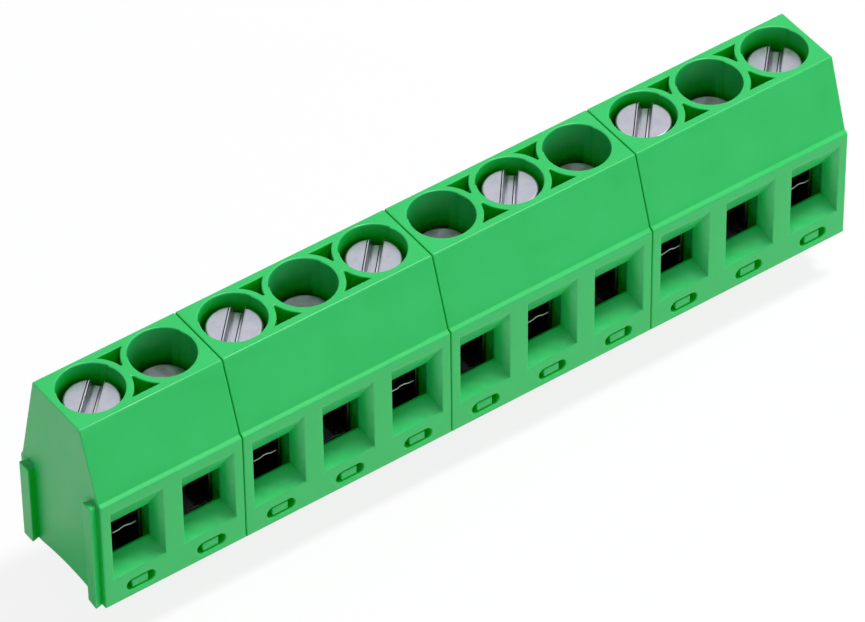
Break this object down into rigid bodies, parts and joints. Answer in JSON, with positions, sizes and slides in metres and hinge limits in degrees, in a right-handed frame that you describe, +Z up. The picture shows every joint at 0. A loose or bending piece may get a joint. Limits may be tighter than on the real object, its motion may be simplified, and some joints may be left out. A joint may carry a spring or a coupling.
{
  "type": "pcb screw terminal",
  "caption": "Long green board-mount screw terminal of interlocking housings, with slotted wire-clamping screws on top and funnel wire entries in front.",
  "frame": {"origin": "middle of the pin row, at the surface of the board (the sixth pin)", "axes": "+X along the strip to the right as seen from the wire side, -Y towards the wire entries, +Z up out of the board"},
  "size_m": [0.0563, 0.0089, 0.017],
  "materials": {
    "housing": "satin moulded",
    "clamp": "tin plated",
    "pin": "bright tin plated",
    "guard": "cold rolled spring strip",
    "screw": "zinc plated"
  },
  "bodies": {
    "root": {"housing_1": "housing", "housing_2": "housing", "housing_3": "housing", "housing_4": "housing", "clamp_1": "clamp", "clamp_2": "clamp", "clamp_3": "clamp", "clamp_4": "clamp", "clamp_5": "clamp", "clamp_6": "clamp", "clamp_7": "clamp", "clamp_8": "clamp", "clamp_9": "clamp", "clamp_10": "clamp", "clamp_11": "clamp", "pin_1": "pin", "pin_2": "pin", "pin_3": "pin", "pin_4": "pin", "pin_5": "pin", "pin_6": "pin", "pin_7": "pin", "pin_8": "pin", "pin_9": "pin", "pin_10": "pin", "pin_11": "pin"},
    "guard_1": {"guard_1": "guard"},
    "screw_1": {"screw_1": "screw"},
    "guard_2": {"guard_2": "guard"},
    "screw_2": {"screw_2": "screw"},
    "guard_3": {"guard_3": "guard"},
    "screw_3": {"screw_3": "screw"},
    "guard_4": {"guard_4": "guard"},
    "screw_4": {"screw_4": "screw"},
    "guard_5": {"guard_5": "guard"},
    "screw_5": {"screw_5": "screw"},
    "guard_6": {"guard_6": "guard"},
    "screw_6": {"screw_6": "screw"},
    "guard_7": {"guard_7": "guard"},
    "screw_7": {"screw_7": "screw"},
    "guard_8": {"guard_8": "guard"},
    "screw_8": {"screw_8": "screw"},
    "guard_9": {"guard_9": "guard"},
    "screw_9": {"screw_9": "screw"},
    "guard_10": {"guard_10": "guard"},
    "screw_10": {"screw_10": "screw"},
    "guard_11": {"guard_11": "guard"},
    "screw_11": {"screw_11": "screw"}
  },
  "joints": [
    {"name": "guard_1_travel", "type": "slide", "parent": "root", "child": "guard_1", "axis": [0, 0, 1], "range_m": [-0.002, 0]},
    {"name": "screw_1_turn", "type": "hinge", "parent": "guard_1", "child": "screw_1", "pos_m": [-0.0254, 0, 0.008], "axis": [0, 0, 1], "range_deg": [-1440, 0]},
    {"name": "guard_2_travel", "type": "slide", "parent": "root", "child": "guard_2", "axis": [0, 0, 1], "range_m": [0, 0.00146]},
    {"name": "screw_2_turn", "type": "hinge", "parent": "guard_2", "child": "screw_2", "pos_m": [-0.02032, 0, 0.008], "axis": [0, 0, 1], "range_deg": [0, 1051.2]},
    {"name": "guard_3_travel", "type": "slide", "parent": "root", "child": "guard_3", "axis": [0, 0, 1], "range_m": [-0.002, 0]},
    {"name": "screw_3_turn", "type": "hinge", "parent": "guard_3", "child": "screw_3", "pos_m": [-0.01524, 0, 0.008], "axis": [0, 0, 1], "range_deg": [-1440, 0]},
    {"name": "guard_4_travel", "type": "slide", "parent": "root", "child": "guard_4", "axis": [0, 0, 1], "range_m": [0, 0.00146]},
    {"name": "screw_4_turn", "type": "hinge", "parent": "guard_4", "child": "screw_4", "pos_m": [-0.01016, 0, 0.008], "axis": [0, 0, 1], "range_deg": [0, 1051.2]},
    {"name": "guard_5_travel", "type": "slide", "parent": "root", "child": "guard_5", "axis": [0, 0, 1], "range_m": [-0.002, 0]},
    {"name": "screw_5_turn", "type": "hinge", "parent": "guard_5", "child": "screw_5", "pos_m": [-0.00508, 0, 0.008], "axis": [0, 0, 1], "range_deg": [-1440, 0]},
    {"name": "guard_6_travel", "type": "slide", "parent": "root", "child": "guard_6", "axis": [0, 0, 1], "range_m": [0, 0.00155]},
    {"name": "screw_6_turn", "type": "hinge", "parent": "guard_6", "child": "screw_6", "pos_m": [0, 0, 0.008], "axis": [0, 0, 1], "range_deg": [0, 1116]},
    {"name": "guard_7_travel", "type": "slide", "parent": "root", "child": "guard_7", "axis": [0, 0, 1], "range_m": [-0.002, 0]},
    {"name": "screw_7_turn", "type": "hinge", "parent": "guard_7", "child": "screw_7", "pos_m": [0.00508, 0, 0.008], "axis": [0, 0, 1], "range_deg": [-1440, 0]},
    {"name": "guard_8_travel", "type": "slide", "parent": "root", "child": "guard_8", "axis": [0, 0, 1], "range_m": [0, 0.00165]},
    {"name": "screw_8_turn", "type": "hinge", "parent": "guard_8", "child": "screw_8", "pos_m": [0.01016, 0, 0.008], "axis": [0, 0, 1], "range_deg": [0, 1188]},
    {"name": "guard_9_travel", "type": "slide", "parent": "root", "child": "guard_9", "axis": [0, 0, 1], "range_m": [-0.002, 0]},
    {"name": "screw_9_turn", "type": "hinge", "parent": "guard_9", "child": "screw_9", "pos_m": [0.01524, 0, 0.008], "axis": [0, 0, 1], "range_deg": [-1440, 0]},
    {"name": "guard_10_travel", "type": "slide", "parent": "root", "child": "guard_10", "axis": [0, 0, 1], "range_m": [0, 0.00155]},
    {"name": "screw_10_turn", "type": "hinge", "parent": "guard_10", "child": "screw_10", "pos_m": [0.02032, 0, 0.008], "axis": [0, 0, 1], "range_deg": [0, 1116]},
    {"name": "guard_11_travel", "type": "slide", "parent": "root", "child": "guard_11", "axis": [0, 0, 1], "range_m": [-0.002, 0]},
    {"name": "screw_11_turn", "type": "hinge", "parent": "guard_11", "child": "screw_11", "pos_m": [0.0254, 0, 0.008], "axis": [0, 0, 1], "range_deg": [-1440, 0]}
  ],
  "couplings": [
    {"joint": "screw_1_turn", "follows": "guard_1_travel", "rad_per_m": 12566},
    {"joint": "screw_2_turn", "follows": "guard_2_travel", "rad_per_m": 12566},
    {"joint": "screw_3_turn", "follows": "guard_3_travel", "rad_per_m": 12566},
    {"joint": "screw_4_turn", "follows": "guard_4_travel", "rad_per_m": 12566},
    {"joint": "screw_5_turn", "follows": "guard_5_travel", "rad_per_m": 12566},
    {"joint": "screw_6_turn", "follows": "guard_6_travel", "rad_per_m": 12566},
    {"joint": "screw_7_turn", "follows": "guard_7_travel", "rad_per_m": 12566},
    {"joint": "screw_8_turn", "follows": "guard_8_travel", "rad_per_m": 12566},
    {"joint": "screw_9_turn", "follows": "guard_9_travel", "rad_per_m": 12566},
    {"joint": "screw_10_turn", "follows": "guard_10_travel", "rad_per_m": 12566},
    {"joint": "screw_11_turn", "follows": "guard_11_travel", "rad_per_m": 12566}
  ]
}
